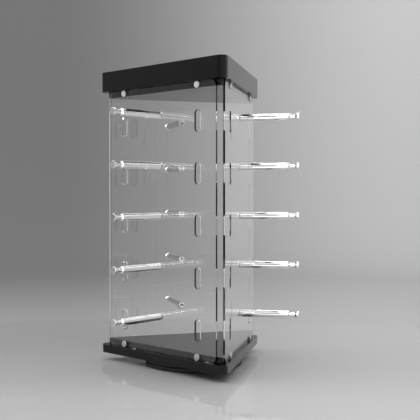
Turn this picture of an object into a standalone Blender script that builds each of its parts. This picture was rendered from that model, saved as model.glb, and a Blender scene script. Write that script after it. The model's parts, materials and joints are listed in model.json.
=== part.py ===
"""Rotating countertop rack for eyeglasses.

Three clear panels stand round two black triangular blocks, between a black header box and a
black base plate. Each panel has five pegs for the nose bridges and a pair of slots beside each
peg for the temples. The tower turns on a flat ball-bearing turntable.

Metres, +Z up. The origin is on the turning axis, at the surface that the rack stands on.
The front panel faces -Y, and s is the distance along a panel, to the right as seen from outside.
"""

import math

import bmesh
import bpy
from mathutils import Matrix, Vector

MM = 0.001
GAP = 0.3 * MM
MERGE = 0.00001

# Tower plan: equilateral triangles about the axis, given by the distance from axis to side.
HEADER_INRADIUS = 73.4 * MM
HEADER_CORNER = 9 * MM
PANEL_FACE = 68.2 * MM
PANEL_THICKNESS = 3 * MM
PANEL_WIDTH = 211 * MM
PANEL_CORNER = 10 * MM
BLOCK_INRADIUS = PANEL_FACE - PANEL_THICKNESS - GAP
BLOCK_CORNER = 2 * MM

# Tower heights, from the support surface.
TOTAL_HEIGHT = 420 * MM
HEADER_HEIGHT = 28.7 * MM
HEADER_WALL = 3 * MM
BLOCK_THICKNESS = 8.7 * MM
BASE_PLATE_BOTTOM = 10.8 * MM
BASE_PLATE_THICKNESS = 12 * MM
HEADER_BOTTOM = TOTAL_HEIGHT - HEADER_HEIGHT
BASE_PLATE_TOP = BASE_PLATE_BOTTOM + BASE_PLATE_THICKNESS
TOP_BLOCK_BOTTOM = HEADER_BOTTOM - GAP - BLOCK_THICKNESS
BOTTOM_BLOCK_BOTTOM = BASE_PLATE_TOP + GAP
PANEL_BOTTOM = BASE_PLATE_TOP + GAP
PANEL_TOP = HEADER_BOTTOM - GAP

# Pegs and temple slots.
ROWS = 5
TOP_PEG_HEIGHT = 350.5 * MM
ROW_PITCH = 69.1 * MM
SLOT_SPACING = 144.5 * MM
SLOT_WIDTH = 10 * MM
SLOT_HEIGHT = 29 * MM
SLOT_TOP_ABOVE_PEG = 3 * MM
SLOT_DROP = SLOT_HEIGHT / 2 - SLOT_TOP_ABOVE_PEG
PEG_LENGTH = 83 * MM
PEG_RADIUS = 5 * MM
PEG_NECK_RADIUS = 3.1 * MM
PEG_SHAFT_LENGTH = 68 * MM
PEG_SHOULDER_LENGTH = 2 * MM
PEG_FLARE_LENGTH = 2.6 * MM
PEG_RIM_LENGTH = 3.1 * MM
PEG_EDGE = 0.5 * MM
PEG_BORE_RADIUS = 2.8 * MM
PEG_BORE_DEPTH = 12.3 * MM
PEG_SEGMENTS = 12

# Button-head screws that hold the pegs, from inside the tower.
PEG_SCREW_RADIUS = 2.5 * MM
PEG_SCREW_HEAD_RADIUS = 5 * MM
PEG_SCREW_HEAD_HEIGHT = 2.8 * MM
PEG_SCREW_DOME = [(1, 1 / 3), (0.8, 0.8), (0.5, 1)]
PEG_SCREW_REACH = 11.5 * MM

# Flat-head screws that hold the panels to the blocks.
PANEL_SCREW_RADIUS = 2 * MM
PANEL_SCREW_HEAD_RADIUS = 4.5 * MM
PANEL_SCREW_HEAD_HEIGHT = 1.5 * MM
PANEL_SCREW_LENGTH = 12 * MM
PANEL_SCREW_BORE_DEPTH = 13 * MM
PANEL_SCREW_LOW = 27.6 * MM
PANEL_SCREW_HIGH = 386.4 * MM
SCREW_SEGMENTS = 10

# Turntable.
DISC_RADIUS = 69 * MM
DISC_SEGMENTS = 32
RIVET_SEGMENTS = 16
PAD_RADIUS = 62 * MM
PAD_THICKNESS = 1 * MM
FOOT_BOTTOM = 0.5 * MM
FOOT_TOP = 5.6 * MM
ROTOR_BOTTOM = 6.4 * MM
ROTOR_TOP = BASE_PLATE_BOTTOM - GAP
PAD_RECESS = PAD_THICKNESS + GAP
RACE_RADIUS = 45 * MM
RACE_HEIGHT = 6 * MM
RACE_HALF_WIDTH = 7 * MM
RACE_DEPTH = 0.6 * MM
BALLS = 5
BALL_RADIUS = 2.5 * MM
GROOVE_RADIUS = BALL_RADIUS + GAP
GROOVE_STEPS = 4
CAGE_THICKNESS = 1.2 * MM
CAGE_HALF_WIDTH = 6 * MM
RIVET_RADIUS = 4 * MM
RIVET_FOOT_HEAD_RADIUS = 8 * MM
RIVET_TOP_HEAD_RADIUS = 7 * MM
RIVET_HEAD_HEIGHT = 1.7 * MM
RIVET_POCKET_RADIUS = 10 * MM
RIVET_POCKET_DEPTH = 2.4 * MM

ARC_STEPS = 6
HOLE_SEGMENTS = 10
BALL_SEGMENTS = 12
BALL_RINGS = 8

PANEL_ANGLES = {"front": -90, "right": 30, "left": 150}

FINISHES = {
    "black_acrylic": {"color": (0.014, 0.014, 0.015), "roughness": 0.12},
    "clear_acrylic": {"color": (0.95, 0.97, 0.97), "roughness": 0.03, "transmission": 1.0},
    "chrome": {"color": (0.80, 0.81, 0.83), "roughness": 0.08, "metallic": 1.0},
    "moulded_black": {"color": (0.018, 0.018, 0.018), "roughness": 0.4},
    "rubber": {"color": (0.03, 0.03, 0.03), "roughness": 0.8},
    "nylon": {"color": (0.75, 0.73, 0.68), "roughness": 0.5},
    "bearing_steel": {"color": (0.56, 0.57, 0.58), "roughness": 0.15, "metallic": 1.0},
}
ACRYLIC_IOR = 1.49
SMOOTH_ANGLE = math.radians(35)


def new_collection(name):
    """A collection linked to the scene."""
    collection = bpy.data.collections.new(name)
    bpy.context.scene.collection.children.link(collection)
    return collection


def new_material(name, color, roughness, metallic=0.0, transmission=0.0):
    """A Principled material with the given finish."""
    material = bpy.data.materials.new(name)
    material.use_nodes = True
    shader = material.node_tree.nodes["Principled BSDF"]
    shader.inputs["Base Color"].default_value = (*color, 1)
    shader.inputs["Roughness"].default_value = roughness
    shader.inputs["Metallic"].default_value = metallic
    shader.inputs["Transmission Weight"].default_value = transmission
    if not metallic:
        shader.inputs["IOR"].default_value = ACRYLIC_IOR
    return material


def side_frame(side, height, outward, s=0.0):
    """Frame on one side of the tower: X along the panel, Y up, Z outward."""
    angle = math.radians(PANEL_ANGLES[side])
    normal = Vector((math.cos(angle), math.sin(angle), 0))
    along = Vector((-math.sin(angle), math.cos(angle), 0))
    place = normal * outward + along * s + Vector((0, 0, height))
    frame = Matrix((along, Vector((0, 0, 1)), normal)).transposed().to_4x4()
    frame.translation = place
    return frame


def arc(centre, radius, start_deg, end_deg, steps=ARC_STEPS):
    """Points on an arc, both ends included."""
    angles = (math.radians(start_deg + (end_deg - start_deg) * i / steps) for i in range(steps + 1))
    return [(centre[0] + radius * math.cos(a), centre[1] + radius * math.sin(a)) for a in angles]


def circle(centre, radius, segments=HOLE_SEGMENTS):
    """A closed ring of points, without the repeated last one."""
    return arc(centre, radius, 0, 360, segments)[:-1]


def triangle(inradius, corner):
    """Outline of an equilateral triangle with rounded corners and a side facing -Y."""
    points = []
    for corner_deg in (-30, 90, 210):
        direction = math.radians(corner_deg)
        reach = 2 * (inradius - corner)
        centre = (reach * math.cos(direction), reach * math.sin(direction))
        points += arc(centre, corner, corner_deg - 60, corner_deg + 60)
    return points


def rounded_rectangle(width, low, high, corner):
    """Outline of an upright panel between two heights."""
    x = width / 2 - corner
    corners = (((x, low + corner), -90), ((x, high - corner), 0),
               ((-x, high - corner), 90), ((-x, low + corner), 180))
    return [point for centre, start in corners for point in arc(centre, corner, start, start + 90)]


def obround(x, y):
    """Outline of one temple slot about its centre."""
    radius = SLOT_WIDTH / 2
    straight = SLOT_HEIGHT / 2 - radius
    return arc((x, y + straight), radius, 0, 180) + arc((x, y - straight), radius, 180, 360)


def plate(name, outlines, thickness, frame, material):
    """A flat plate between z = 0 and its thickness in the frame, with the later outlines as holes."""
    curve = bpy.data.curves.new(name, "CURVE")
    curve.dimensions = "2D"
    curve.fill_mode = "BOTH"
    curve.extrude = thickness / 2
    for outline in outlines:
        spline = curve.splines.new("POLY")
        spline.points.add(len(outline) - 1)
        for point, (x, y) in zip(spline.points, outline):
            point.co = (x, y, 0, 1)
        spline.use_cyclic_u = True
    curve.materials.append(material)
    obj = bpy.data.objects.new(name, curve)
    obj.matrix_world = frame @ Matrix.Translation((0, 0, thickness / 2))
    parts.objects.link(obj)
    return obj


def as_mesh(obj):
    """The same plate as a closed mesh, so that it can be cut."""
    bpy.context.view_layer.update()
    name = obj.name
    evaluated = obj.evaluated_get(bpy.context.evaluated_depsgraph_get())
    mesh = bpy.data.meshes.new_from_object(evaluated)
    solid = bmesh.new()
    solid.from_mesh(mesh)
    bmesh.ops.remove_doubles(solid, verts=solid.verts, dist=MERGE)
    solid.to_mesh(mesh)
    solid.free()
    place = obj.matrix_world.copy()
    curve = obj.data
    bpy.data.objects.remove(obj)
    bpy.data.curves.remove(curve)
    made = bpy.data.objects.new(name, mesh)
    made.matrix_world = place
    parts.objects.link(made)
    return made


def turned(name, profile, segments, frame, material, closed=False):
    """A turned piece. The profile is (radius, z) points that run down its outer side."""
    mesh = bpy.data.meshes.new(name)
    edges = [(i, i + 1) for i in range(len(profile) - 1)]
    if closed:
        edges.append((len(profile) - 1, 0))
    mesh.from_pydata([(radius, 0, z) for radius, z in profile], edges, [])
    mesh.materials.append(material)
    obj = bpy.data.objects.new(name, mesh)
    obj.matrix_world = frame
    parts.objects.link(obj)
    screw = obj.modifiers.new("turn", "SCREW")
    screw.axis = "Z"
    screw.steps = segments
    screw.render_steps = segments
    screw.use_merge_vertices = True
    screw.merge_threshold = MERGE
    screw.use_smooth_shade = True
    return obj


def move_to(obj, collection):
    """Puts the object in this collection only."""
    for old_collection in list(obj.users_collection):
        old_collection.objects.unlink(obj)
    collection.objects.link(obj)


def cut(obj, cutter):
    """Cuts the cutter out of the object, and puts the cutter with the guides."""
    move_to(cutter, cutters)
    cutter.hide_render = True
    cutter.display_type = "WIRE"
    boolean = obj.modifiers.new(cutter.name, "BOOLEAN")
    boolean.operation = "DIFFERENCE"
    boolean.solver = "EXACT"
    boolean.object = cutter


def drill(name, radius, depth, frame):
    """A cylinder cutter that starts a little above the frame and goes down to the depth."""
    length = depth + GAP
    bpy.ops.mesh.primitive_cylinder_add(vertices=HOLE_SEGMENTS, radius=radius, depth=length)
    obj = bpy.context.object
    obj.name = name
    obj.matrix_world = frame @ Matrix.Translation((0, 0, GAP - length / 2))
    return obj


def level(height):
    """Frame of a horizontal plate whose underside is at that height."""
    return Matrix.Translation((0, 0, height))


def make_header():
    """The header box: a cap open at the bottom, and the floor that closes it."""
    black = materials["black_acrylic"]
    outline = triangle(HEADER_INRADIUS, HEADER_CORNER)
    shell = as_mesh(plate("header_shell", [outline], HEADER_HEIGHT, level(HEADER_BOTTOM), black))
    hollow = triangle(HEADER_INRADIUS - HEADER_WALL, HEADER_CORNER - HEADER_WALL)
    inside = plate("header_hollow", [hollow], HEADER_HEIGHT, level(HEADER_BOTTOM - HEADER_WALL), black)
    cut(shell, as_mesh(inside))
    inset = HEADER_WALL + GAP
    floor = triangle(HEADER_INRADIUS - inset, HEADER_CORNER - inset)
    plate("header_floor", [floor], HEADER_WALL, level(HEADER_BOTTOM), black)


def make_block(name, bottom, screw_height):
    """A triangular block that the panels are screwed to."""
    outline = triangle(BLOCK_INRADIUS, BLOCK_CORNER)
    block = as_mesh(plate(name, [outline], BLOCK_THICKNESS, level(bottom), materials["black_acrylic"]))
    for side in PANEL_ANGLES:
        for hand, s in (("left", -SLOT_SPACING / 2), ("right", SLOT_SPACING / 2)):
            mouth = side_frame(side, screw_height, BLOCK_INRADIUS, s)
            radius = PANEL_SCREW_RADIUS + GAP
            cut(block, drill(f"{name}_bore_{side}_{hand}", radius, PANEL_SCREW_BORE_DEPTH, mouth))


def make_base_plate():
    """The plate under the tower, with a pocket below for the rivet's top head."""
    outline = triangle(HEADER_INRADIUS, HEADER_CORNER)
    frame = level(BASE_PLATE_BOTTOM)
    base = as_mesh(plate("base_plate", [outline], BASE_PLATE_THICKNESS, frame, materials["black_acrylic"]))
    upside_down = frame @ Matrix.Rotation(math.pi, 4, "X")
    cut(base, drill("rivet_pocket", RIVET_POCKET_RADIUS, RIVET_POCKET_DEPTH, upside_down))


def peg_height(row):
    """Height of a peg's centreline, row 1 at the top."""
    return TOP_PEG_HEIGHT - (row - 1) * ROW_PITCH


def make_panel(side):
    """A clear panel with its temple slots and its screw holes."""
    middle = (PANEL_BOTTOM + PANEL_TOP) / 2
    outlines = [rounded_rectangle(PANEL_WIDTH, PANEL_BOTTOM - middle, PANEL_TOP - middle, PANEL_CORNER)]
    for row in range(1, ROWS + 1):
        y = peg_height(row) - middle
        outlines.append(circle((0, y), PEG_SCREW_RADIUS + GAP))
        for s in (-SLOT_SPACING / 2, SLOT_SPACING / 2):
            outlines.append(obround(s, y - SLOT_DROP))
    for height in (PANEL_SCREW_LOW, PANEL_SCREW_HIGH):
        for s in (-SLOT_SPACING / 2, SLOT_SPACING / 2):
            outlines.append(circle((s, height - middle), PANEL_SCREW_RADIUS + GAP))
    frame = side_frame(side, middle, PANEL_FACE - PANEL_THICKNESS)
    plate(f"panel_{side}", outlines, PANEL_THICKNESS, frame, materials["clear_acrylic"])


def peg_profile():
    """Shaft, tapered shoulder, neck and flared head, with a blind bore for the screw."""
    neck_start = PEG_SHAFT_LENGTH + PEG_SHOULDER_LENGTH
    rim_start = PEG_LENGTH - PEG_RIM_LENGTH
    return [
        (0, PEG_LENGTH),
        (PEG_RADIUS - PEG_EDGE, PEG_LENGTH),
        (PEG_RADIUS, PEG_LENGTH - PEG_EDGE),
        (PEG_RADIUS, rim_start),
        (PEG_NECK_RADIUS, rim_start - PEG_FLARE_LENGTH),
        (PEG_NECK_RADIUS, neck_start),
        (PEG_RADIUS, PEG_SHAFT_LENGTH),
        (PEG_RADIUS, 0),
        (PEG_BORE_RADIUS, 0),
        (PEG_BORE_RADIUS, PEG_BORE_DEPTH),
        (0, PEG_BORE_DEPTH),
    ]


def peg_screw_profile():
    """A button head below z = 0 and a shank above it. The dome is in shares of the head's size."""
    head, height = PEG_SCREW_HEAD_RADIUS, PEG_SCREW_HEAD_HEIGHT
    return [
        (0, PEG_SCREW_REACH + PANEL_THICKNESS + GAP),
        (PEG_SCREW_RADIUS, PEG_SCREW_REACH + PANEL_THICKNESS + GAP),
        (PEG_SCREW_RADIUS, 0),
        (head, 0),
        *((head * across, -height * down) for across, down in PEG_SCREW_DOME),
        (0, -height),
    ]


def panel_screw_profile():
    """A thin flat head above z = 0 and a shank below it."""
    head, height = PANEL_SCREW_HEAD_RADIUS, PANEL_SCREW_HEAD_HEIGHT
    return [
        (0, height),
        (head - GAP, height),
        (head, height - GAP),
        (head, 0),
        (PANEL_SCREW_RADIUS, 0),
        (PANEL_SCREW_RADIUS, -PANEL_SCREW_LENGTH),
        (0, -PANEL_SCREW_LENGTH),
    ]


def make_side_fittings(side):
    """The pegs and screws of one panel."""
    chrome = materials["chrome"]
    for row in range(1, ROWS + 1):
        height = peg_height(row)
        outside = side_frame(side, height, PANEL_FACE + GAP)
        turned(f"peg_{side}_{row}", peg_profile(), PEG_SEGMENTS, outside, chrome)
        inside = side_frame(side, height, PANEL_FACE - PANEL_THICKNESS - GAP)
        turned(f"peg_screw_{side}_{row}", peg_screw_profile(), SCREW_SEGMENTS, inside, chrome)
    for level_name, height in (("top", PANEL_SCREW_HIGH), ("bottom", PANEL_SCREW_LOW)):
        for hand, s in (("left", -SLOT_SPACING / 2), ("right", SLOT_SPACING / 2)):
            seat = side_frame(side, height, PANEL_FACE + GAP, s)
            name = f"panel_screw_{side}_{level_name}_{hand}"
            turned(name, panel_screw_profile(), SCREW_SEGMENTS, seat, chrome)


def groove(floor, middle_deg):
    """The ball groove in a race floor, from lip to lip about its middle, in (radius, z) points."""
    half = math.degrees(math.acos(abs(floor - RACE_HEIGHT) / GROOVE_RADIUS))
    centre = (RACE_RADIUS, RACE_HEIGHT)
    return arc(centre, GROOVE_RADIUS, middle_deg - half, middle_deg + half, GROOVE_STEPS)


def make_turntable():
    """Foot, rotor, ball ring, rivet and rubber pad."""
    black = materials["moulded_black"]
    bore = RIVET_RADIUS + GAP
    inner, outer = RACE_RADIUS - RACE_HALF_WIDTH, RACE_RADIUS + RACE_HALF_WIDTH
    foot_floor, rotor_roof = FOOT_TOP - RACE_DEPTH, ROTOR_BOTTOM + RACE_DEPTH
    head_bottom = PAD_RECESS
    counterbore = head_bottom + RIVET_HEAD_HEIGHT + GAP
    foot = [
        (DISC_RADIUS, FOOT_TOP),
        (DISC_RADIUS, FOOT_BOTTOM),
        (PAD_RADIUS + GAP, FOOT_BOTTOM),
        (PAD_RADIUS + GAP, PAD_RECESS),
        (RIVET_FOOT_HEAD_RADIUS + GAP, PAD_RECESS),
        (RIVET_FOOT_HEAD_RADIUS + GAP, counterbore),
        (bore, counterbore),
        (bore, FOOT_TOP),
        (inner, FOOT_TOP),
        (inner, foot_floor),
        *groove(foot_floor, 270),
        (outer, foot_floor),
        (outer, FOOT_TOP),
    ]
    turned("turntable_foot", foot, DISC_SEGMENTS, level(0), black, closed=True)
    rotor = [
        (DISC_RADIUS, ROTOR_TOP),
        (DISC_RADIUS, ROTOR_BOTTOM),
        (outer, ROTOR_BOTTOM),
        (outer, rotor_roof),
        *groove(rotor_roof, 90),
        (inner, rotor_roof),
        (inner, ROTOR_BOTTOM),
        (bore, ROTOR_BOTTOM),
        (bore, ROTOR_TOP),
    ]
    turned("turntable_rotor", rotor, DISC_SEGMENTS, level(0), black, closed=True)
    rivet_top = BASE_PLATE_BOTTOM + RIVET_HEAD_HEIGHT
    rivet = [
        (0, rivet_top),
        (RIVET_TOP_HEAD_RADIUS, rivet_top),
        (RIVET_TOP_HEAD_RADIUS, BASE_PLATE_BOTTOM),
        (RIVET_RADIUS, BASE_PLATE_BOTTOM),
        (RIVET_RADIUS, head_bottom + RIVET_HEAD_HEIGHT),
        (RIVET_FOOT_HEAD_RADIUS, head_bottom + RIVET_HEAD_HEIGHT),
        (RIVET_FOOT_HEAD_RADIUS, head_bottom),
        (0, head_bottom),
    ]
    turned("pivot_rivet", rivet, RIVET_SEGMENTS, level(0), materials["bearing_steel"])
    plate("rubber_pad", [circle((0, 0), PAD_RADIUS, DISC_SEGMENTS)], PAD_THICKNESS, level(0),
          materials["rubber"])


def make_ball_ring():
    """The ball cage and its balls."""
    centres = circle((0, 0), RACE_RADIUS, BALLS)
    outlines = [
        circle((0, 0), RACE_RADIUS + CAGE_HALF_WIDTH, DISC_SEGMENTS),
        circle((0, 0), RACE_RADIUS - CAGE_HALF_WIDTH, DISC_SEGMENTS),
        *(circle(centre, GROOVE_RADIUS) for centre in centres),
    ]
    bottom = RACE_HEIGHT - CAGE_THICKNESS / 2
    plate("ball_cage", outlines, CAGE_THICKNESS, level(bottom), materials["nylon"])
    for number, (x, y) in enumerate(centres, 1):
        bpy.ops.mesh.primitive_uv_sphere_add(
            segments=BALL_SEGMENTS, ring_count=BALL_RINGS, radius=BALL_RADIUS,
            location=(x, y, RACE_HEIGHT))
        ball = bpy.context.object
        ball.name = f"ball_{number}"
        ball.data.materials.append(materials["bearing_steel"])
        ball.data.shade_smooth()
        move_to(ball, parts)


def add_pivot(name, members):
    """An empty on the turning axis, which carries the pieces that turn together."""
    pivot = bpy.data.objects.new(name, None)
    parts.objects.link(pivot)
    for obj in members:
        obj.parent = pivot


for old in list(bpy.data.objects):
    bpy.data.objects.remove(old)
parts = new_collection("eyeglass_display_rack")
cutters = new_collection("cutters")
materials = {name: new_material(name, **finish) for name, finish in FINISHES.items()}

make_header()
make_block("top_block", TOP_BLOCK_BOTTOM, PANEL_SCREW_HIGH)
make_block("bottom_block", BOTTOM_BLOCK_BOTTOM, PANEL_SCREW_LOW)
make_base_plate()
for panel_side in PANEL_ANGLES:
    make_panel(panel_side)
    make_side_fittings(panel_side)
make_turntable()
make_ball_ring()

FOOT_PIECES = ("rubber_pad", "turntable_foot", "pivot_rivet")
ring = [obj for obj in parts.objects if obj.name.startswith("ball_")]
tower = [obj for obj in parts.objects if obj not in ring and obj.name not in FOOT_PIECES]
add_pivot("ball_ring_pivot", ring)
add_pivot("tower_pivot", tower)
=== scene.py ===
"""Countertop rack for eyeglasses: the visible pieces and their finishes, made round the CAD frame.

Three clear acrylic panels with chromed pegs stand between a black header box and a black base
plate, on a turntable. Metres, +Z up, origin on the turning axis at the surface it stands on.
On one side of the tower, X runs along the panel, Y is up and Z points outward.
"""

import json
import math

import bmesh
import bpy
from mathutils import Matrix, Vector

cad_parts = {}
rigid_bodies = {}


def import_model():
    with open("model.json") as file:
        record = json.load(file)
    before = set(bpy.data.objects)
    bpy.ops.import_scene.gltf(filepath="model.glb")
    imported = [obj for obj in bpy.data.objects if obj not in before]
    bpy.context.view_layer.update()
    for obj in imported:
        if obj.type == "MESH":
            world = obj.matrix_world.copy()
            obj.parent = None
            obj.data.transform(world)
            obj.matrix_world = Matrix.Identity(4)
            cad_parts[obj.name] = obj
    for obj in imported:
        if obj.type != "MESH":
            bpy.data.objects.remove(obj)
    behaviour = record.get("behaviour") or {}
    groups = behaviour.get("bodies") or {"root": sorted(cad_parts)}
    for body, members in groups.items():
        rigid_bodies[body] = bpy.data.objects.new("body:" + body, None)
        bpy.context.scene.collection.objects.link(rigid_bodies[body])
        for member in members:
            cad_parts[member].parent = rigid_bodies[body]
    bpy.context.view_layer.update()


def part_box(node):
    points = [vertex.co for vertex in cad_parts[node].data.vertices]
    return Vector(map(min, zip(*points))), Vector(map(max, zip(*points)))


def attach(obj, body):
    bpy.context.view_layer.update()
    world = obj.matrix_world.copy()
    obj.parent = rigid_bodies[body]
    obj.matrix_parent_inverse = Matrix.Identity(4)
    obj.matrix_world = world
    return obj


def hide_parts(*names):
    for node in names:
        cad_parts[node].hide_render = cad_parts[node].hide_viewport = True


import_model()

MM = 0.001
ON_AXIS = MM * 1e-3
SIDES = {"front": -90, "right": 30, "left": 150}
TOWER, BASE, RING = "tower", "base", "ball_ring"


def spans(node):
    """Lowest and highest corner of a CAD node, and its middle."""
    low, high = (Vector(corner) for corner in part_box(node))
    return low, high, (low + high) / 2


# Sizes read from the frame. The front side faces -Y, so a distance from the axis is minus Y.
shell_low, shell_high, _ = spans("header_shell")
floor_low, floor_high, _ = spans("header_floor")
plate_low, plate_high, _ = spans("base_plate")
panel_low, panel_high, panel_middle = spans("panel_front")
peg_low, peg_high, _ = spans("peg_front_1")
peg_screw_low, peg_screw_high, _ = spans("peg_screw_front_1")
panel_screw_low, panel_screw_high, panel_screw_middle = spans("panel_screw_front_top_right")
foot_low, foot_high, _ = spans("turntable_foot")
rotor_low, rotor_high, _ = spans("turntable_rotor")
_, pad_high, _ = spans("rubber_pad")
cage_low, cage_high, _ = spans("ball_cage")
ball_low, ball_high, ball_middle = spans("ball_1")
rivet_low, rivet_high, _ = spans("pivot_rivet")
CLEARANCE = 0.3 * MM
HEADER_CORNER = 9 * MM
HEADER_WALL = floor_high.z - floor_low.z
BLOCK_CORNER = 2 * MM
PANEL_CORNER = 10 * MM
PANEL_THICKNESS = panel_high.y - panel_low.y
PEG_HEIGHTS = [spans(f"peg_front_{row}")[2].z for row in range(1, 6)]
PEG_RADIUS = (peg_high.x - peg_low.x) / 2
PEG_LENGTH = peg_high.y - peg_low.y
SLOT_SPACING = 2 * panel_screw_middle.x
SCREW_HEIGHTS = {"top": panel_screw_middle.z, "bottom": spans("panel_screw_front_bottom_right")[2].z}
DISC_RADIUS = foot_high.x
PAD_RADIUS = pad_high.x
RACE_RADIUS = math.hypot(ball_middle.x, ball_middle.y)
BALL_RADIUS = (ball_high.z - ball_low.z) / 2
BALLS = 5

# Sizes of the details.
SLOT_WIDTH = 10 * MM
SLOT_HEIGHT = 29 * MM
SLOT_DROP = 11.5 * MM
PLATE_EDGE = 0.45 * MM
BLOCK_EDGE = 0.3 * MM
HEADER_FLOOR_EDGE = 0.2 * MM
PANEL_EDGE = 0.15 * MM
CAGE_EDGE = 0.15 * MM
PEG_NECK_RADIUS = 3.1 * MM
PEG_HOLE_RADIUS = 2.8 * MM
PEG_HOLE_DEPTH = 12.3 * MM
PEG_HOLE_TIP = 13.5 * MM
PEG_SCREW_RADIUS = 2.5 * MM
PEG_SCREW_HEAD_RADIUS = 5 * MM
PEG_SCREW_HEAD_HEIGHT = 2.8 * MM
DOME_DEG = 58
DOME_TOP_SHARE = 0.46
DOME_RIM_SHARE = 0.25
HEX_ACROSS_FLATS = 3 * MM
HEX_DEPTH = 1.6 * MM
HEX_TIP = 1.9 * MM
THREAD_PITCH = 0.8 * MM
THREAD_DEPTH_SHARE = 0.45
PANEL_SCREW_RADIUS = 2 * MM
PANEL_SCREW_HEAD_RADIUS = 4.5 * MM
PANEL_SCREW_HEAD_HEIGHT = 1.5 * MM
PANEL_SCREW_HOLE_RADIUS = 2.3 * MM
RIVET_POCKET_RADIUS = 10 * MM
RIVET_POCKET_DEPTH = 2.4 * MM

# Smoothness of round shapes.
CORNER_STEPS = 12
SLOT_STEPS = 16
HOLE_STEPS = 32
PEG_STEPS = 56
SCREW_STEPS = 40
DISC_STEPS = 144
FILLET_STEPS = 5


# --- Shapes -------------------------------------------------------------------------------------

def arc(centre, radius, start_deg, end_deg, steps):
    """Points on an arc, both ends included."""
    angles = (math.radians(start_deg + (end_deg - start_deg) * i / steps) for i in range(steps + 1))
    return [(centre[0] + radius * math.cos(a), centre[1] + radius * math.sin(a)) for a in angles]


def circle(centre, radius, steps=HOLE_STEPS):
    """A closed ring of points, without the repeated last one."""
    return arc(centre, radius, 0, 360, steps)[:-1]


def triangle(inradius, corner):
    """Outline of an equilateral triangle with round corners and a side facing -Y."""
    points = []
    for corner_deg in (-30, 90, 210):
        direction = math.radians(corner_deg)
        reach = 2 * (inradius - corner)
        centre = (reach * math.cos(direction), reach * math.sin(direction))
        points += arc(centre, corner, corner_deg - 60, corner_deg + 60, CORNER_STEPS)
    return points


def rounded_rectangle(width, height, corner):
    """Outline of an upright rectangle with round corners, about its middle."""
    x, y = width / 2 - corner, height / 2 - corner
    corners = (((x, -y), -90), ((x, y), 0), ((-x, y), 90), ((-x, -y), 180))
    return [p for centre, start in corners for p in arc(centre, corner, start, start + 90, CORNER_STEPS)]


def obround(centre, width, height):
    """Outline of a slot with half-round ends."""
    x, y = centre
    radius = width / 2
    straight = height / 2 - radius
    top = arc((x, y + straight), radius, 0, 180, SLOT_STEPS)
    return top + arc((x, y - straight), radius, 180, 360, SLOT_STEPS)


def filleted(corners, steps=FILLET_STEPS):
    """A line of points through (x, y) or (x, y, radius) corners, each rounded to its radius."""
    points = []
    for i, (x, y, *rest) in enumerate(corners):
        here = Vector((x, y))
        if not rest:
            points.append((x, y))
            continue
        before = (Vector(corners[i - 1][:2]) - here).normalized()
        after = (Vector(corners[(i + 1) % len(corners)][:2]) - here).normalized()
        half = before.angle(after) / 2
        centre = here + (before + after).normalized() * rest[0] / math.sin(half)
        start = here + before * rest[0] / math.tan(half) - centre
        end = here + after * rest[0] / math.tan(half) - centre
        sweep = start.angle_signed(end)
        for step in range(steps + 1):
            turn = Matrix.Rotation(-sweep * step / steps, 2)
            points.append(tuple(centre + turn @ start))
    return points


def rounded_side(low, high, edge, steps=FILLET_STEPS):
    """A plate's outer side with rounded edges, in (inset, z) points, bottom to top."""
    return filleted([(edge, low), (0, low, edge), (0, high, edge), (edge, high)], steps)[1:-1]


def link(name, solid, material):
    """A new object from a bmesh, with faces pointing out and smooth shading."""
    bmesh.ops.recalc_face_normals(solid, faces=solid.faces)
    mesh = bpy.data.meshes.new(name)
    solid.to_mesh(mesh)
    solid.free()
    mesh.materials.append(material)
    obj = bpy.data.objects.new(name, mesh)
    bpy.context.scene.collection.objects.link(obj)
    return obj


def finish_surface(obj, sharp_deg=50):
    """Smooth shading that keeps flat faces flat."""
    obj.data.shade_smooth()
    obj.data.set_sharp_from_angle(angle=math.radians(sharp_deg))
    weighted = obj.modifiers.new("flat_faces", "WEIGHTED_NORMAL")
    weighted.keep_sharp = True
    weighted.weight = 100
    return obj


def bridge(solid, lower, upper, material_index=0):
    """Faces between two rings of vertices. A ring of one vertex is a point on the axis."""
    count = max(len(lower), len(upper))
    for i in range(count):
        j = (i + 1) % count
        corners = [lower[i % len(lower)], lower[j % len(lower)], upper[j % len(upper)], upper[i % len(upper)]]
        face = solid.faces.new(list(dict.fromkeys(corners)))
        face.material_index = material_index


def turned(name, profile, steps, material, closed=False):
    """A turned piece from (radius, z) points."""
    solid = bmesh.new()
    rings = []
    for radius, z in profile:
        spots = circle((0, 0), radius, steps) if radius > ON_AXIS else [(0, 0)]
        rings.append([solid.verts.new((x, y, z)) for x, y in spots])
    if closed:
        rings.append(rings[0])
    for lower, upper in zip(rings, rings[1:]):
        bridge(solid, lower, upper)
    return finish_surface(link(name, solid, material))


def stacked(name, profile, inradius, corner, material):
    """A triangular plate or box from (inset, z) points, closed by a flat face at each end."""
    solid = bmesh.new()
    rings = []
    for inset, z in profile:
        outline = triangle(inradius - inset, corner - inset)
        rings.append([solid.verts.new((x, y, z)) for x, y in outline])
    for lower, upper in zip(rings, rings[1:]):
        bridge(solid, lower, upper)
    solid.faces.new(rings[0])
    solid.faces.new(rings[-1])
    return link(name, solid, material)


def cut_sheet(name, outlines, thickness, edge, materials):
    """A flat sheet from z = 0 to its thickness. Each outline is a function of how far its rim is
    set back, the first is the outer one, and the cut walls take the second material."""
    solid = bmesh.new()
    profile = rounded_side(0, thickness, edge, 3)
    ends = ([], [])
    for outline in outlines:
        rings = [[solid.verts.new((x, y, z)) for x, y in outline(inset)] for inset, z in profile]
        for lower, upper in zip(rings, rings[1:]):
            bridge(solid, lower, upper, 1)
        for end, ring in zip(ends, (rings[0], rings[-1])):
            end.extend(solid.edges.get((ring[i - 1], ring[i])) for i in range(len(ring)))
    for end in ends:
        bmesh.ops.triangle_fill(solid, use_beauty=True, edges=end)
    obj = link(name, solid, materials[0])
    obj.data.materials.append(materials[1])
    return finish_surface(obj)


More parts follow.
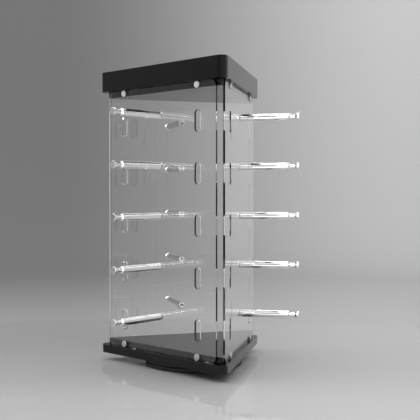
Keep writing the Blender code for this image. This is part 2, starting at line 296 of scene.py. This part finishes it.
def bored(obj, holes):
    """Cuts round holes. Each hole is its radius, its depth and the frame of its mouth."""
    for number, (radius, depth, mouth) in enumerate(holes):
        profile = [(0, CLEARANCE), (radius, CLEARANCE), (radius, -depth), (0, -depth)]
        cutter = turned("cutter", profile, HOLE_STEPS, None)
        cutter.matrix_world = mouth
        cut = obj.modifiers.new(f"bore_{number}", "BOOLEAN")
        cut.object = cutter
        bake(obj)
        bpy.data.objects.remove(cutter)
    return finish_surface(obj)


def bake(obj):
    """Applies the object's modifiers."""
    bpy.context.view_layer.update()
    evaluated = obj.evaluated_get(bpy.context.evaluated_depsgraph_get())
    mesh = bpy.data.meshes.new_from_object(evaluated)
    obj.modifiers.clear()
    old = obj.data
    obj.data = mesh
    bpy.data.meshes.remove(old)


def side_frame(side, outward, height, s=0.0):
    """Frame on one side of the tower: X along the panel, Y up, Z outward."""
    angle = math.radians(SIDES[side])
    normal = Vector((math.cos(angle), math.sin(angle), 0))
    along = Vector((-math.sin(angle), math.cos(angle), 0))
    place = Matrix((along, Vector((0, 0, 1)), normal)).transposed().to_4x4()
    place.translation = normal * outward + along * s + Vector((0, 0, height))
    return place


def install(obj, body, node, place=None):
    """Puts a piece in its place, on its body, instead of its CAD node."""
    if place is not None:
        obj.matrix_world = place
    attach(obj, body)
    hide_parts(node)


def copy_of(obj, name):
    """Another object with the same mesh."""
    made = obj.copy()
    made.name = name
    bpy.context.scene.collection.objects.link(made)
    return made


def repeat(first, places, body=TOWER):
    """Installs one piece at each of the places, which are node: (name, frame)."""
    others = [copy_of(first, name) for name, _ in list(places.values())[1:]]
    for obj, (node, (name, place)) in zip([first, *others], places.items()):
        obj.name = name
        install(obj, body, node, place)


# --- Finishes -----------------------------------------------------------------------------------

def linear(hex_colour):
    """Linear RGBA from an sRGB hex colour such as #c8c8c8."""
    values = (int(hex_colour[i:i + 2], 16) / 255 for i in (1, 3, 5))
    return (*((v / 12.92 if v <= 0.04045 else ((v + 0.055) / 1.055) ** 2.4) for v in values), 1)


def socket(sockets, name=None):
    """The first socket in use, of that name if one is given: a node may hold one for each data type."""
    return next(s for s in sockets if s.enabled and name in (None, s.name))


def add(tree, kind, inputs=None, **settings):
    """Adds a node. Settings are its own properties; inputs are values, or nodes and sockets to link."""
    made = tree.nodes.new(kind)
    for name, value in settings.items():
        setattr(made, name, value)
    for name, value in (inputs or {}).items():
        into = made.inputs[name] if isinstance(name, int) else socket(made.inputs, name)
        if isinstance(value, bpy.types.Node):
            value = socket(value.outputs)
        if isinstance(value, bpy.types.NodeSocket):
            tree.links.new(value, into)
        else:
            into.default_value = value
    return made


def new_finish(name, hex_colour, inputs=None):
    """A material with one shader. Returns the material, its tree, its shader and where on the piece."""
    material = bpy.data.materials.new(name)
    material.use_nodes = True
    tree = material.node_tree
    shader = tree.nodes["Principled BSDF"]
    for label, value in {"Base Color": linear(hex_colour), **(inputs or {})}.items():
        shader.inputs[label].default_value = value
    place = add(tree, "ShaderNodeTexCoord").outputs["Object"]
    return material, tree, shader, place


def lead(tree, shader, **links):
    """Links nodes to the shader's sockets, whose names have spaces for underscores."""
    for label, made in links.items():
        tree.links.new(socket(made.outputs), shader.inputs[label.replace("_", " ")])


def per(size_mm):
    """Texture scale that gives features of this size in millimetres."""
    return 1 / (size_mm * MM)


def cast_acrylic_black():
    """Cast black acrylic, polished: a deep gloss, with a faint haze where it has been wiped and the
    long shallow ripple of cast sheet, which bends its reflections slightly."""
    inputs = {"IOR": 1.49, "Specular IOR Level": 0.42}
    material, tree, shader, place = new_finish("cast_black_acrylic", "#0c0c0d", inputs)
    haze = add(tree, "ShaderNodeTexNoise", {"Vector": place, "Scale": per(28), "Detail": 5.0,
                                            "Roughness": 0.62})
    gloss = add(tree, "ShaderNodeMapRange", {"Value": haze, "From Min": 0.3, "From Max": 0.75,
                                             "To Min": 0.04, "To Max": 0.1})
    tint = add(tree, "ShaderNodeMix", {"Factor": haze, "A": linear("#060607"), "B": linear("#0b0b0c")},
               data_type="RGBA")
    ripple = add(tree, "ShaderNodeTexNoise", {"Vector": place, "Scale": per(55), "Detail": 1.0})
    dust = add(tree, "ShaderNodeTexNoise", {"Vector": place, "Scale": per(0.9), "Detail": 2.0})
    low = add(tree, "ShaderNodeBump", {"Height": ripple, "Strength": 0.05, "Distance": 1.0 * MM})
    fine = add(tree, "ShaderNodeBump", {"Height": dust, "Normal": low, "Strength": 0.015,
                                        "Distance": 0.05 * MM})
    lead(tree, shader, Base_Color=tint, Roughness=gloss, Normal=fine)
    return material


def cast_acrylic_clear():
    """Clear cast acrylic, 3 mm: colourless, with bright reflections on both faces, the slight ripple
    of cast sheet, and a trace of haze from wiping."""
    inputs = {"IOR": 1.49, "Transmission Weight": 1.0}
    material, tree, shader, place = new_finish("cast_clear_acrylic", "#ffffff", inputs)
    wipe = add(tree, "ShaderNodeMapping", {"Vector": place, "Rotation": (0, 0, 0.5), "Scale": (1, 0.35, 1)})
    haze = add(tree, "ShaderNodeTexNoise", {"Vector": wipe, "Scale": per(22), "Detail": 4.0})
    gloss = add(tree, "ShaderNodeMapRange", {"Value": haze, "From Min": 0.4, "From Max": 0.8,
                                             "To Min": 0.0, "To Max": 0.01})
    ripple = add(tree, "ShaderNodeTexNoise", {"Vector": place, "Scale": per(60), "Detail": 1.0})
    wave = add(tree, "ShaderNodeBump", {"Height": ripple, "Strength": 0.03, "Distance": 0.6 * MM})
    lead(tree, shader, Roughness=gloss, Normal=wave)
    return material


def laser_cut_edge():
    """The laser-cut edge of clear acrylic: flame bright, with the beam's fine upright striations
    through the thickness, so it catches a broken line of light."""
    inputs = {"IOR": 1.49, "Transmission Weight": 1.0, "Roughness": 0.03}
    material, tree, shader, place = new_finish("laser_cut_acrylic_edge", "#fcfdfd", inputs)
    along = add(tree, "ShaderNodeMapping", {"Vector": place, "Scale": (1, 1, 0.05)})
    lines = add(tree, "ShaderNodeTexNoise", {"Vector": along, "Scale": per(0.7), "Detail": 2.0})
    gloss = add(tree, "ShaderNodeMapRange", {"Value": lines, "From Min": 0.35, "From Max": 0.7,
                                             "To Min": 0.0, "To Max": 0.015})
    ridges = add(tree, "ShaderNodeBump", {"Height": lines, "Strength": 0.02, "Distance": 0.05 * MM})
    lead(tree, shader, Roughness=gloss, Normal=ridges)
    return material


def chromed_brass():
    """Chrome plate on turned and polished brass: a near mirror, with the last traces of the turning
    rings and faint handling marks that soften it in places."""
    inputs = {"Metallic": 1.0, "Roughness": 0.04}
    material, tree, shader, place = new_finish("chromed_brass", "#e6e7e9", inputs)
    around = add(tree, "ShaderNodeMapping", {"Vector": place, "Scale": (0.02, 0.02, 1)})
    rings = add(tree, "ShaderNodeTexNoise", {"Vector": around, "Scale": per(0.6), "Detail": 2.0})
    marks = add(tree, "ShaderNodeTexNoise", {"Vector": place, "Scale": per(6), "Detail": 4.0})
    gloss = add(tree, "ShaderNodeMapRange", {"Value": marks, "From Min": 0.4, "From Max": 0.75,
                                             "To Min": 0.025, "To Max": 0.075})
    tint = add(tree, "ShaderNodeMix", {"Factor": marks, "A": linear("#fdfdfd"), "B": linear("#f3f4f6")},
               data_type="RGBA")
    turning = add(tree, "ShaderNodeBump", {"Height": rings, "Strength": 0.012, "Distance": 0.05 * MM})
    lead(tree, shader, Base_Color=tint, Roughness=gloss, Normal=turning)
    return material


def satin_nickel():
    """Nickel-plated steel screw caps, faced on a lathe: an even light grey, with fine rings round
    the centre that spread each highlight."""
    inputs = {"Metallic": 1.0, "Roughness": 0.24}
    material, tree, shader, place = new_finish("satin_nickel_steel", "#dcdcda", inputs)
    rings = add(tree, "ShaderNodeTexWave", {"Vector": place, "Scale": per(2.4), "Distortion": 0.4,
                                            "Detail": 1.0}, wave_type="RINGS", rings_direction="Z")
    marks = add(tree, "ShaderNodeTexNoise", {"Vector": place, "Scale": per(1.6), "Detail": 3.0})
    gloss = add(tree, "ShaderNodeMapRange", {"Value": marks, "From Min": 0.3, "From Max": 0.7,
                                             "To Min": 0.42, "To Max": 0.5})
    facing = add(tree, "ShaderNodeBump", {"Height": rings, "Strength": 0.08, "Distance": 0.03 * MM})
    lead(tree, shader, Roughness=gloss, Normal=facing)
    return material


def moulded_abs():
    """Black ABS, injection moulded in a spark-eroded tool: satin, with a fine even grain."""
    inputs = {"IOR": 1.53, "Roughness": 0.42}
    material, tree, shader, place = new_finish("moulded_black_abs", "#151516", inputs)
    grain = add(tree, "ShaderNodeTexNoise", {"Vector": place, "Scale": per(0.5), "Detail": 3.0})
    cloud = add(tree, "ShaderNodeTexNoise", {"Vector": place, "Scale": per(18), "Detail": 3.0})
    gloss = add(tree, "ShaderNodeMapRange", {"Value": cloud, "From Min": 0.3, "From Max": 0.7,
                                             "To Min": 0.36, "To Max": 0.48})
    tint = add(tree, "ShaderNodeMix", {"Factor": cloud, "A": linear("#131314"), "B": linear("#1a1a1b")},
               data_type="RGBA")
    skin = add(tree, "ShaderNodeBump", {"Height": grain, "Strength": 0.25, "Distance": 0.06 * MM})
    lead(tree, shader, Base_Color=tint, Roughness=gloss, Normal=skin)
    return material


def moulded_rubber():
    """Black nitrile rubber sheet: matt, a little grey where dust sits in its surface."""
    inputs = {"IOR": 1.52, "Roughness": 0.8}
    material, tree, shader, place = new_finish("black_nitrile_rubber", "#1d1d1d", inputs)
    dust = add(tree, "ShaderNodeTexNoise", {"Vector": place, "Scale": per(1.1), "Detail": 6.0,
                                            "Roughness": 0.7})
    tint = add(tree, "ShaderNodeMix", {"Factor": dust, "A": linear("#171717"), "B": linear("#2b2b2a")},
               data_type="RGBA")
    skin = add(tree, "ShaderNodeBump", {"Height": dust, "Strength": 0.35, "Distance": 0.08 * MM})
    lead(tree, shader, Base_Color=tint, Normal=skin)
    return material


def natural_nylon():
    """Natural nylon, moulded: creamy, waxy and slightly translucent, with soft mottling."""
    inputs = {"IOR": 1.53, "Roughness": 0.45, "Subsurface Weight": 0.15, "Subsurface Scale": 1 * MM}
    material, tree, shader, place = new_finish("natural_nylon", "#d8d3c4", inputs)
    mottle = add(tree, "ShaderNodeTexNoise", {"Vector": place, "Scale": per(4), "Detail": 3.0})
    tint = add(tree, "ShaderNodeMix", {"Factor": mottle, "A": linear("#cdc7b6"), "B": linear("#dedace")},
               data_type="RGBA")
    skin = add(tree, "ShaderNodeBump", {"Height": mottle, "Strength": 0.1, "Distance": 0.05 * MM})
    lead(tree, shader, Base_Color=tint, Normal=skin)
    return material


def bearing_steel():
    """Hardened bearing steel, lapped: bright and a little warm, with a trace of grease haze."""
    inputs = {"Metallic": 1.0, "Roughness": 0.12}
    material, tree, shader, place = new_finish("lapped_bearing_steel", "#b6b5b2", inputs)
    grease = add(tree, "ShaderNodeTexNoise", {"Vector": place, "Scale": per(2), "Detail": 4.0})
    gloss = add(tree, "ShaderNodeMapRange", {"Value": grease, "From Min": 0.35, "From Max": 0.7,
                                             "To Min": 0.08, "To Max": 0.26})
    lead(tree, shader, Roughness=gloss)
    return material


black_acrylic = cast_acrylic_black()
clear_sheet = (cast_acrylic_clear(), laser_cut_edge())
chrome = chromed_brass()
nickel = satin_nickel()
black_abs = moulded_abs()
rubber = moulded_rubber()
nylon = natural_nylon()
steel = bearing_steel()


# --- Header, blocks and base plate --------------------------------------------------------------

def make_header():
    """The box, open below, and the floor that is set into its rim."""
    rim, top, wall = shell_low.z, shell_high.z, HEADER_WALL
    edge = PLATE_EDGE
    profile = [
        (wall, top - wall),
        *filleted([(wall, top - wall), (wall, rim, edge * 0.5), (0, rim, edge * 0.5), (0, top, edge),
                   (wall, top)])[1:-1],
    ]
    shell = stacked("header_box", profile, -shell_low.y, HEADER_CORNER, black_acrylic)
    install(finish_surface(shell), TOWER, "header_shell")
    corner = HEADER_CORNER - (floor_low.y - shell_low.y)
    profile = rounded_side(floor_low.z, floor_high.z, HEADER_FLOOR_EDGE)
    lid = stacked("header_box_floor", profile, -floor_low.y, corner, black_acrylic)
    install(finish_surface(lid), TOWER, "header_floor")


def make_block(node, screw_height):
    """A triangular block with a bore for each panel screw."""
    low, high, _ = spans(node)
    name = node.replace("_block", "_fixing_block")
    block = stacked(name, rounded_side(low.z, high.z, BLOCK_EDGE), -low.y, BLOCK_CORNER, black_acrylic)
    depth = panel_screw_high.y - low.y + 1 * MM
    holes = [(PANEL_SCREW_HOLE_RADIUS, depth, side_frame(side, -low.y, screw_height, s))
             for side in SIDES for s in (-SLOT_SPACING / 2, SLOT_SPACING / 2)]
    install(bored(block, holes), TOWER, node)


def make_base_plate():
    """The plate under the tower, with a pocket below for the rivet's head."""
    profile = rounded_side(plate_low.z, plate_high.z, PLATE_EDGE)
    plate = stacked("tower_base_plate", profile, -plate_low.y, HEADER_CORNER, black_acrylic)
    mouth = Matrix.Translation((0, 0, plate_low.z)) @ Matrix.Rotation(math.pi, 4, "X")
    pocket = (RIVET_POCKET_RADIUS, RIVET_POCKET_DEPTH, mouth)
    install(bored(plate, [pocket]), TOWER, "base_plate")


# --- Panels, pegs and screws --------------------------------------------------------------------

def panel_outlines():
    """The rim of a panel, its temple slots and its screw holes, in the panel's own frame."""
    height = panel_high.z - panel_low.z
    width = panel_high.x - panel_low.x
    outlines = [lambda e: rounded_rectangle(width - 2 * e, height - 2 * e, PANEL_CORNER - e)]
    holes = [(0, peg, PEG_HOLE_RADIUS) for peg in PEG_HEIGHTS]
    pairs = (-SLOT_SPACING / 2, SLOT_SPACING / 2)
    holes += [(s, z, PANEL_SCREW_HOLE_RADIUS) for z in SCREW_HEIGHTS.values() for s in pairs]
    for s, z, radius in holes:
        outlines.append(lambda e, at=(s, z - panel_middle.z), r=radius: circle(at, r + e))
    for peg in PEG_HEIGHTS:
        for s in pairs:
            at = (s, peg - SLOT_DROP - panel_middle.z)
            outlines.append(lambda e, at=at: obround(at, SLOT_WIDTH + 2 * e, SLOT_HEIGHT + 2 * e))
    return outlines


def make_panels():
    """The three clear panels."""
    sheet = cut_sheet("clear_panel_front", panel_outlines(), PANEL_THICKNESS, PANEL_EDGE, clear_sheet)
    inner = -panel_high.y
    places = {f"panel_{side}": (f"clear_panel_{side}", side_frame(side, inner, panel_middle.z))
              for side in SIDES}
    repeat(sheet, places)


def peg_profile():
    """Shaft, shoulder, neck and flared head, with the blind hole that its screw goes into."""
    length, radius, neck = PEG_LENGTH, PEG_RADIUS, PEG_NECK_RADIUS
    return [(0, length)] + filleted([
        (0, length), (radius, length, 0.5 * MM), (radius, length - 3.1 * MM, 0.7 * MM),
        (neck, length - 5.7 * MM, 1.2 * MM), (neck, 70 * MM, 0.5 * MM), (radius, 68 * MM, 0.8 * MM),
        (radius, 0, 0.15 * MM), (PEG_HOLE_RADIUS, 0, 0.15 * MM), (PEG_HOLE_RADIUS, PEG_HOLE_DEPTH),
        (0, PEG_HOLE_TIP)])[1:]


def threaded(radius, start, end, pitch=THREAD_PITCH):
    """A thread's outline down a shank, drawn as rings, in (radius, z) points."""
    count = int(abs(end - start) / pitch)
    step = (end - start) / count
    depth = THREAD_DEPTH_SHARE * pitch
    return [p for i in range(count)
            for p in ((radius - depth, start + i * step), (radius, start + (i + 0.5) * step))]


def peg_screw():
    """A button-head screw with a hexagon socket. Its seat is at z = 0 and its shank points up."""
    head, height = PEG_SCREW_HEAD_RADIUS, PEG_SCREW_HEAD_HEIGHT
    tip = peg_screw_high.y - peg_screw_low.y - height
    shank = threaded(PEG_SCREW_RADIUS, tip - 0.6 * MM, 0.6 * MM)
    dome = arc((0, 0), 1, 0, -DOME_DEG, 8)
    drop = math.sin(math.radians(DOME_DEG))
    crown = [(head * (DOME_TOP_SHARE + (1 - DOME_TOP_SHARE) * x),
              DOME_RIM_SHARE * -height + (1 - DOME_RIM_SHARE) * height * y / drop) for x, y in dome]
    profile = [(0, tip), (PEG_SCREW_RADIUS - 0.5 * MM, tip), *shank, (PEG_SCREW_RADIUS, 0.3 * MM),
               (PEG_SCREW_RADIUS, 0), (head - 0.2 * MM, 0), (head, -0.2 * MM), *crown, (0, -height)]
    screw = turned("peg_screw", profile, SCREW_STEPS, chrome)
    socket_radius = HEX_ACROSS_FLATS / 2 / math.cos(math.radians(30))
    ring = [(socket_radius, -height - CLEARANCE), (socket_radius, -height + HEX_DEPTH)]
    hexagon = turned("hexagon", [(0, -height - CLEARANCE), *ring, (0, -height + HEX_TIP)], 6, None)
    cut = screw.modifiers.new("socket", "BOOLEAN")
    cut.object = hexagon
    bake(screw)
    bpy.data.objects.remove(hexagon)
    return finish_surface(screw)


def panel_screw():
    """A flat cap-head screw. Its seat is at z = 0 and its shank points down."""
    head, height, radius = PANEL_SCREW_HEAD_RADIUS, PANEL_SCREW_HEAD_HEIGHT, PANEL_SCREW_RADIUS
    tip = -(panel_screw_high.y - panel_screw_low.y - height)
    cap = filleted([(0, height), (head, height, 0.4 * MM), (head, 0, 0.15 * MM), (radius, 0, 0.3 * MM),
                    (radius, tip)])[:-1]
    shank = threaded(radius, -3.6 * MM, tip + 0.5 * MM)
    return turned("panel_screw", [*cap, (radius, -3.3 * MM), *shank, (radius - 0.6 * MM, tip), (0, tip)],
                  SCREW_STEPS, nickel)


def make_side_fittings():
    """The pegs and screws of all three panels."""
    pegs, peg_screws, panel_screws = {}, {}, {}
    for side in SIDES:
        for row, height in enumerate(PEG_HEIGHTS, 1):
            outside = side_frame(side, -peg_high.y, height)
            pegs[f"peg_{side}_{row}"] = (f"nose_peg_{side}_{row}", outside)
            inside = side_frame(side, PEG_SCREW_HEAD_HEIGHT - peg_screw_high.y, height)
            peg_screws[f"peg_screw_{side}_{row}"] = (f"button_screw_{side}_{row}", inside)
        for end, height in SCREW_HEIGHTS.items():
            for hand, s in (("left", -SLOT_SPACING / 2), ("right", SLOT_SPACING / 2)):
                seat = side_frame(side, -panel_screw_low.y - PANEL_SCREW_HEAD_HEIGHT, height, s)
                panel_screws[f"panel_screw_{side}_{end}_{hand}"] = (f"cap_screw_{side}_{end}_{hand}", seat)
    repeat(turned("nose_peg", peg_profile(), PEG_STEPS, chrome), pegs)
    repeat(peg_screw(), peg_screws)
    repeat(panel_screw(), panel_screws)


# --- Turntable ----------------------------------------------------------------------------------

RACE_HEIGHT = ball_middle.z
RACE_HALF_WIDTH = 7 * MM
RACE_INNER = RACE_RADIUS - RACE_HALF_WIDTH
RACE_OUTER = RACE_RADIUS + RACE_HALF_WIDTH
RACE_DEPTH = 0.6 * MM
RIVET_RADIUS = 4 * MM
RIVET_FOOT_HEAD = rivet_high.x
RIVET_TOP_HEAD = 7 * MM
RIVET_HEAD_HEIGHT = 1.7 * MM


def groove(floor, middle_deg):
    """The ball groove in a race floor, from lip to lip about its middle, in (radius, z) points."""
    radius = BALL_RADIUS + CLEARANCE
    half = math.degrees(math.acos(abs(floor - RACE_HEIGHT) / radius))
    return arc((RACE_RADIUS, RACE_HEIGHT), radius, middle_deg - half, middle_deg + half, 16)


def make_discs():
    """The moulded foot and rotor, with the ball race between them."""
    bore = RIVET_RADIUS + CLEARANCE
    low, top = foot_low.z, foot_high.z
    recess = pad_high.z + CLEARANCE
    counterbore = rivet_low.z + RIVET_HEAD_HEIGHT + CLEARANCE
    race = top - RACE_DEPTH
    foot = [
        *filleted([(RACE_OUTER, top), (DISC_RADIUS, top, 0.5 * MM), (DISC_RADIUS, low, 0.8 * MM),
                   (PAD_RADIUS + CLEARANCE, low, 0.2 * MM), (PAD_RADIUS + CLEARANCE, recess)]),
        (RIVET_FOOT_HEAD + CLEARANCE, recess), (RIVET_FOOT_HEAD + CLEARANCE, counterbore),
        (bore, counterbore), (bore, top), (RACE_INNER, top), (RACE_INNER, race), *groove(race, 270),
        (RACE_OUTER, race),
    ]
    disc = turned("turntable_foot_disc", foot, DISC_STEPS, black_abs, closed=True)
    install(disc, BASE, "turntable_foot")
    low, top = rotor_low.z, rotor_high.z
    race = low + RACE_DEPTH
    rotor = [
        *filleted([(bore, top), (DISC_RADIUS, top, 0.4 * MM), (DISC_RADIUS, low, 0.5 * MM),
                   (RACE_OUTER, low)]),
        (RACE_OUTER, race), *groove(race, 90), (RACE_INNER, race), (RACE_INNER, low), (bore, low),
    ]
    disc = turned("turntable_rotor_disc", rotor, DISC_STEPS, black_abs, closed=True)
    install(disc, TOWER, "turntable_rotor")


def make_rivet_and_pad():
    """The rivet that holds the discs together, and the ribbed rubber pad below."""
    low, top = rivet_low.z, rivet_high.z
    foot_head, top_head = low + RIVET_HEAD_HEIGHT, top - RIVET_HEAD_HEIGHT
    profile = filleted([
        (0, top), (RIVET_TOP_HEAD, top, 0.9 * MM), (RIVET_TOP_HEAD, top_head, 0.2 * MM),
        (RIVET_RADIUS, top_head), (RIVET_RADIUS, foot_head), (RIVET_FOOT_HEAD, foot_head, 0.2 * MM),
        (RIVET_FOOT_HEAD, low, 0.9 * MM), (0, low)])
    install(turned("turntable_rivet", profile, HOLE_STEPS * 2, steel), BASE, "pivot_rivet")
    pitch, depth = 3 * MM, 0.3 * MM
    ribs = []
    for number in range(1, int(PAD_RADIUS / pitch)):
        start = PAD_RADIUS - number * pitch
        ribs += [(start + pitch * 0.5, 0), (start + pitch * 0.4, depth),
                 (start + pitch * 0.1, depth), (start, 0)]
    profile = [(0, pad_high.z), *filleted([(0, pad_high.z), (PAD_RADIUS, pad_high.z, 0.2 * MM),
                                           (PAD_RADIUS, 0, 0.2 * MM), (0, 0)])[1:-1], *ribs, (0, 0)]
    install(turned("ribbed_rubber_pad", profile, DISC_STEPS, rubber), BASE, "rubber_pad")


def make_ball_ring():
    """The ball cage and its balls."""
    centres = circle((0, 0), RACE_RADIUS, BALLS)
    half_width = cage_high.x - RACE_RADIUS
    outlines = [lambda e: circle((0, 0), RACE_RADIUS + half_width - e, DISC_STEPS),
                lambda e: circle((0, 0), RACE_RADIUS - half_width + e, DISC_STEPS)]
    for centre in centres:
        outlines.append(lambda e, at=centre: circle(at, BALL_RADIUS + CLEARANCE + e))
    thickness = cage_high.z - cage_low.z
    cage = cut_sheet("turntable_ball_cage", outlines, thickness, CAGE_EDGE, (nylon, nylon))
    install(cage, RING, "ball_cage", Matrix.Translation((0, 0, cage_low.z)))
    sphere = [(BALL_RADIUS * math.cos(math.radians(a)), BALL_RADIUS * math.sin(math.radians(a)))
              for a in range(90, -91, -6)]
    places = {f"ball_{number}": (f"bearing_ball_{number}", Matrix.Translation((x, y, RACE_HEIGHT)))
              for number, (x, y) in enumerate(centres, 1)}
    repeat(turned("bearing_ball", sphere, HOLE_STEPS * 2, steel), places, RING)


# --- Studio -------------------------------------------------------------------------------------

FLOOR_RADIUS = 1.3
WALL_RADIUS = 2.6
WALL_HEIGHT = 1.9
CURVE_STEPS = 40
# FLOOR_FRONT is a spot on the floor under the camera, and the studio's light and shade are painted round it.
# Painted light falls off from it across the floor. The wall holds painted shade to the camera's left and
# painted light to its right, and each side turns lighter towards the top.
FLOOR_FRONT = (0.8, -0.86, 0)
FLOOR_PALE = "#dadada"
WALL_PAINTED_SHADE = ("#6f6f6f", "#828282")
WALL_PAINTED_LIGHT = ("#bababa", "#ebebeb")
SKY_STRENGTH = 0.95
CAMERA_PLACE = (0.8164, -0.8439, 0.24115)
CAMERA_TURN_DEG = 42.915
CAMERA_TILT_DEG = 1.036
CAMERA_LENS_MM = 70.13

# Light caught in a clear sheet is lost after this many bounces, which leaves its cut edges dark.
EDGE_BOUNCES = 7


def studio_paint_and_painted_light():
    """The studio's paint, with its light and shade painted in: a pale floor with a slight shine in front that
    turns duller and, as painted light falling off, greyer towards the back, up into a wall with painted shade
    on one side and painted light towards its top."""
    material, tree, shader, place = new_finish("studio_paint_and_painted_light", "#d2d2d2", {"IOR": 1.4})
    turn = math.radians(CAMERA_TURN_DEG)
    height = add(tree, "ShaderNodeSeparateXYZ", {0: place})
    # Painted light: the wall's tone turns lighter towards its top.
    up = add(tree, "ShaderNodeMath", {0: height.outputs["Z"], 1: 0.35}, operation="POWER", use_clamp=True)
    dark = add(tree, "ShaderNodeMix", {"Factor": up, "A": linear(WALL_PAINTED_SHADE[0]), "B": linear(WALL_PAINTED_SHADE[1])},
               data_type="RGBA")
    light = add(tree, "ShaderNodeMix", {"Factor": up, "A": linear(WALL_PAINTED_LIGHT[0]), "B": linear(WALL_PAINTED_LIGHT[1])},
                data_type="RGBA")
    # Painted shade on the wall to the camera's left and painted light to its right, turning about the spot
    # under the camera.
    offset = add(tree, "ShaderNodeVectorMath", {0: place, 1: FLOOR_FRONT}, operation="SUBTRACT")
    outward = add(tree, "ShaderNodeVectorMath", {0: offset}, operation="NORMALIZE")
    across = add(tree, "ShaderNodeVectorMath", {0: outward, 1: (math.cos(turn), math.sin(turn), 0)},
                 operation="DOT_PRODUCT")
    side = add(tree, "ShaderNodeMapRange", {"Value": across, "From Min": -0.18, "From Max": 0.25},
               interpolation_type="SMOOTHSTEP")
    wall = add(tree, "ShaderNodeMix", {"Factor": side, "A": dark, "B": light}, data_type="RGBA")
    # Painted light falloff: the floor is palest close to the spot under the camera and greys into the wall's
    # tone further off.
    distance = add(tree, "ShaderNodeVectorMath", {0: offset}, operation="LENGTH")
    fall = add(tree, "ShaderNodeMath", {0: 1.0, 1: distance}, operation="DIVIDE")
    ramp = add(tree, "ShaderNodeMapRange", {"Value": fall, "From Min": 0.1, "From Max": 1.02})
    painted_falloff = add(tree, "ShaderNodeMath", {0: ramp, 1: 1.6}, operation="POWER")
    paint = add(tree, "ShaderNodeMix", {"Factor": painted_falloff, "A": wall, "B": linear(FLOOR_PALE)}, data_type="RGBA")
    gloss = add(tree, "ShaderNodeMapRange", {"Value": fall, "From Min": 0.8, "From Max": 0.4,
                                             "To Min": 0.0, "To Max": 0.7})
    shine = add(tree, "ShaderNodeMapRange", {"Value": fall, "From Min": 0.62, "From Max": 0.85,
                                             "To Min": 0.0, "To Max": 0.5})
    lead(tree, shader, Base_Color=paint, Roughness=gloss, Specular_IOR_Level=shine)
    return material


def make_studio():
    """A round room whose floor curves up into its wall, and a bright sky above it."""
    profile = [(0, 0)]
    for step in range(CURVE_STEPS + 1):
        share = step / CURVE_STEPS
        profile.append((FLOOR_RADIUS + share * (WALL_RADIUS - FLOOR_RADIUS), WALL_HEIGHT * share ** 3))
    turned("studio_room", profile, DISC_STEPS, studio_paint_and_painted_light())
    world = bpy.data.worlds.new("sky")
    world.use_nodes = True
    world.node_tree.nodes["Background"].inputs["Color"].default_value = linear("#ffffff")
    world.node_tree.nodes["Background"].inputs["Strength"].default_value = SKY_STRENGTH
    bpy.context.scene.world = world
    bpy.context.scene.view_settings.view_transform = "Standard"


def add_softbox(name, distance, azimuth_deg, height, size, radiance, aim=(0, 0, 0.2), room=False):
    """A rectangular soft light that faces its aim. The camera never sees it straight on, but shiny
    pieces mirror it. Unless it lights the room, it is only a shine on the rack."""
    light = bpy.data.lights.new(name, "AREA")
    light.shape = "RECTANGLE"
    light.size, light.size_y = size
    light.energy = radiance * math.pi * size[0] * size[1]
    azimuth = math.radians(azimuth_deg)
    obj = bpy.data.objects.new(name, light)
    obj.location = (distance * math.cos(azimuth), distance * math.sin(azimuth), height)
    obj.rotation_euler = (Vector(aim) - obj.location).to_track_quat("-Z", "Y").to_euler()
    obj.visible_camera = False
    obj.visible_diffuse = obj.visible_transmission = room
    if not room:
        obj.light_linking.receiver_collection = bpy.data.collections["rack"]
    bpy.context.scene.collection.objects.link(obj)


def make_lights():
    """Soft light from above and the left, with cards and strips that only the rack picks up."""
    rack = bpy.data.collections.new("rack")
    for obj in bpy.context.scene.objects:
        if obj.type == "MESH" and obj.name != "studio_room":
            rack.objects.link(obj)
    add_softbox("ceiling_light", distance=0.3, azimuth_deg=200, height=1.9, size=(1.4, 1.4),
                radiance=0.4, room=True)
    add_softbox("left_light", distance=1.5, azimuth_deg=226, height=1.1, size=(1.2, 0.8),
                radiance=2.0, room=True)
    add_softbox("back_strip", distance=2.1, azimuth_deg=122, height=1.1, size=(1.2, 0.16), radiance=22)
    add_softbox("front_strip", distance=1.6, azimuth_deg=-55, height=1.1, size=(0.55, 0.14), radiance=16)
    add_softbox("left_card", distance=2.0, azimuth_deg=226, height=0.4, size=(1.6, 1.0), radiance=0.155)
    add_softbox("right_card", distance=2.0, azimuth_deg=52, height=0.5, size=(2.0, 1.2), radiance=0.5)
    add_softbox("bounce_card", distance=0.57, azimuth_deg=-52, height=0.01, size=(0.5, 1.0),
                radiance=1.5, aim=(0.35, -0.3, 1))


def make_camera():
    """The camera, a little above the middle of the tower."""
    camera = bpy.data.objects.new("camera", bpy.data.cameras.new("camera"))
    camera.data.lens = CAMERA_LENS_MM
    camera.location = CAMERA_PLACE
    camera.rotation_euler = (math.radians(90 - CAMERA_TILT_DEG), 0, math.radians(CAMERA_TURN_DEG))
    bpy.context.scene.collection.objects.link(camera)
    bpy.context.scene.camera = camera


make_header()
make_block("top_block", SCREW_HEIGHTS["top"])
make_block("bottom_block", SCREW_HEIGHTS["bottom"])
make_base_plate()
make_panels()
make_side_fittings()
make_discs()
make_rivet_and_pad()
make_ball_ring()
make_studio()
make_lights()
make_camera()
bpy.context.scene.cycles.glossy_bounces = EDGE_BOUNCES
